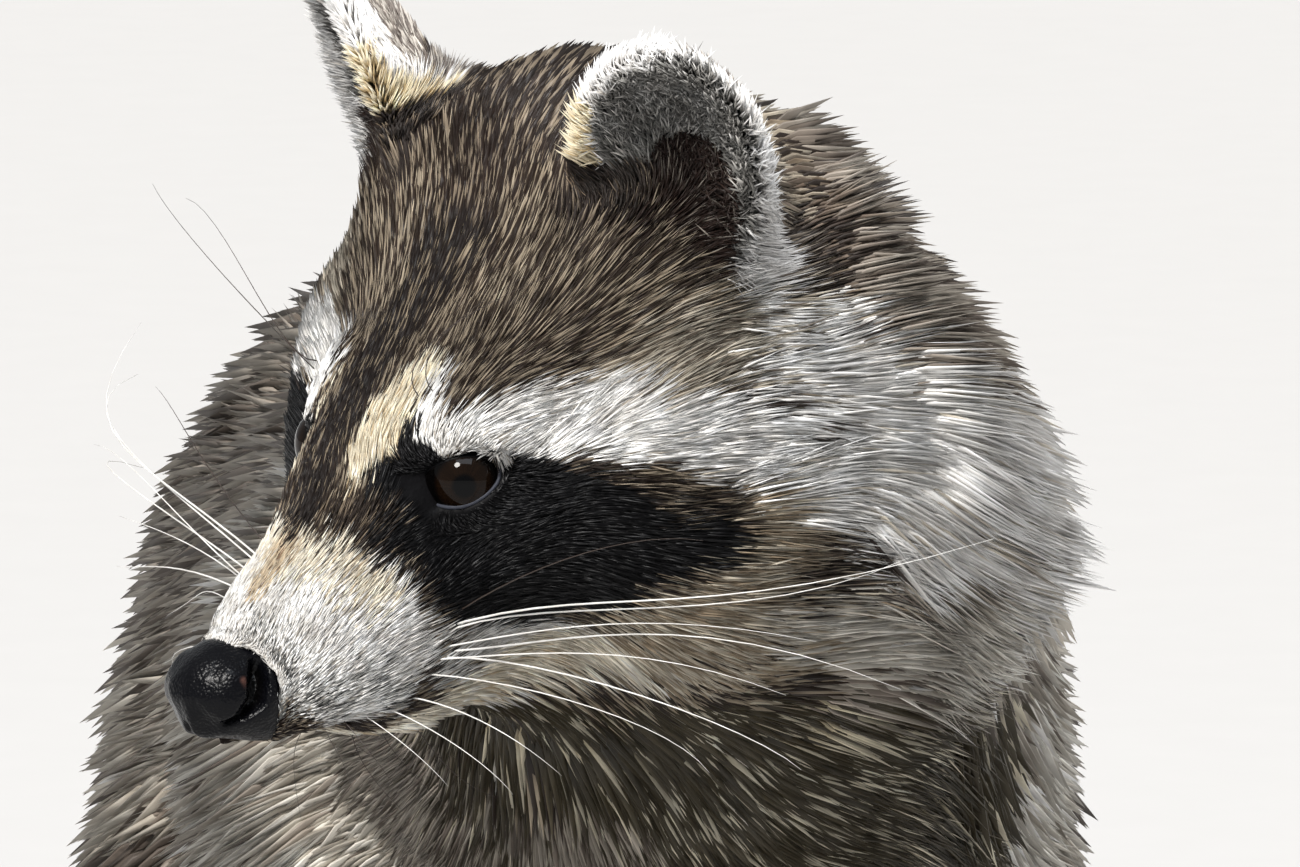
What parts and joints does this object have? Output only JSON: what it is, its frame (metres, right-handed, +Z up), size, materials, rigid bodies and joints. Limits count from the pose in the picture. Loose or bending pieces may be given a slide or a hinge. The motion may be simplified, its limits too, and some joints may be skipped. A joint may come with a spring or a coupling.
{
  "type": "raccoon",
  "caption": "Life-size raccoon standing on all fours with its head turned to its right; masked face, ringed bushy tail and spread toes, resting on flat soles.",
  "frame": {"origin": "on the floor, under the middle of the whole animal's box", "axes": "+Z up, +Y from the chest towards the tail, +X towards the animal's left"},
  "size_m": [0.2046, 0.7426, 0.3256],
  "materials": {
    "face_coat": "short fur, white brows and muzzle, black mask",
    "ear_coat": "short pale fur with a dark hollow",
    "body_coat": "long grizzled grey-brown fur",
    "tail_coat": "bushy fur in pale and dark rings",
    "paw_coat": "short flat fur",
    "eye": "wet dark brown",
    "nose_leather": "moist black leather, fine bumps",
    "claw_horn": "dark polished horn"
  },
  "bodies": {
    "root": {"claw_fore_left_1": "claw_horn", "claw_fore_left_2": "claw_horn", "claw_fore_left_3": "claw_horn", "claw_fore_left_4": "claw_horn", "claw_fore_left_5": "claw_horn", "claw_fore_right_1": "claw_horn", "claw_fore_right_2": "claw_horn", "claw_fore_right_3": "claw_horn", "claw_fore_right_4": "claw_horn", "claw_fore_right_5": "claw_horn", "claw_hind_left_1": "claw_horn", "claw_hind_left_2": "claw_horn", "claw_hind_left_3": "claw_horn", "claw_hind_left_4": "claw_horn", "claw_hind_left_5": "claw_horn", "claw_hind_right_1": "claw_horn", "claw_hind_right_2": "claw_horn", "claw_hind_right_3": "claw_horn", "claw_hind_right_4": "claw_horn", "claw_hind_right_5": "claw_horn", "ear_left": "ear_coat", "ear_right": "ear_coat", "eye_left": "eye", "eye_right": "eye", "foreleg_left": "body_coat", "foreleg_right": "body_coat", "forepaw_left": "paw_coat", "forepaw_right": "paw_coat", "head": "face_coat", "hindleg_left": "body_coat", "hindleg_right": "body_coat", "hindpaw_left": "paw_coat", "hindpaw_right": "paw_coat", "lower_jaw": "face_coat", "neck": "body_coat", "nose": "nose_leather", "tail_end": "tail_coat", "tail_root": "tail_coat", "trunk": "body_coat"}
  },
  "joints": []
}
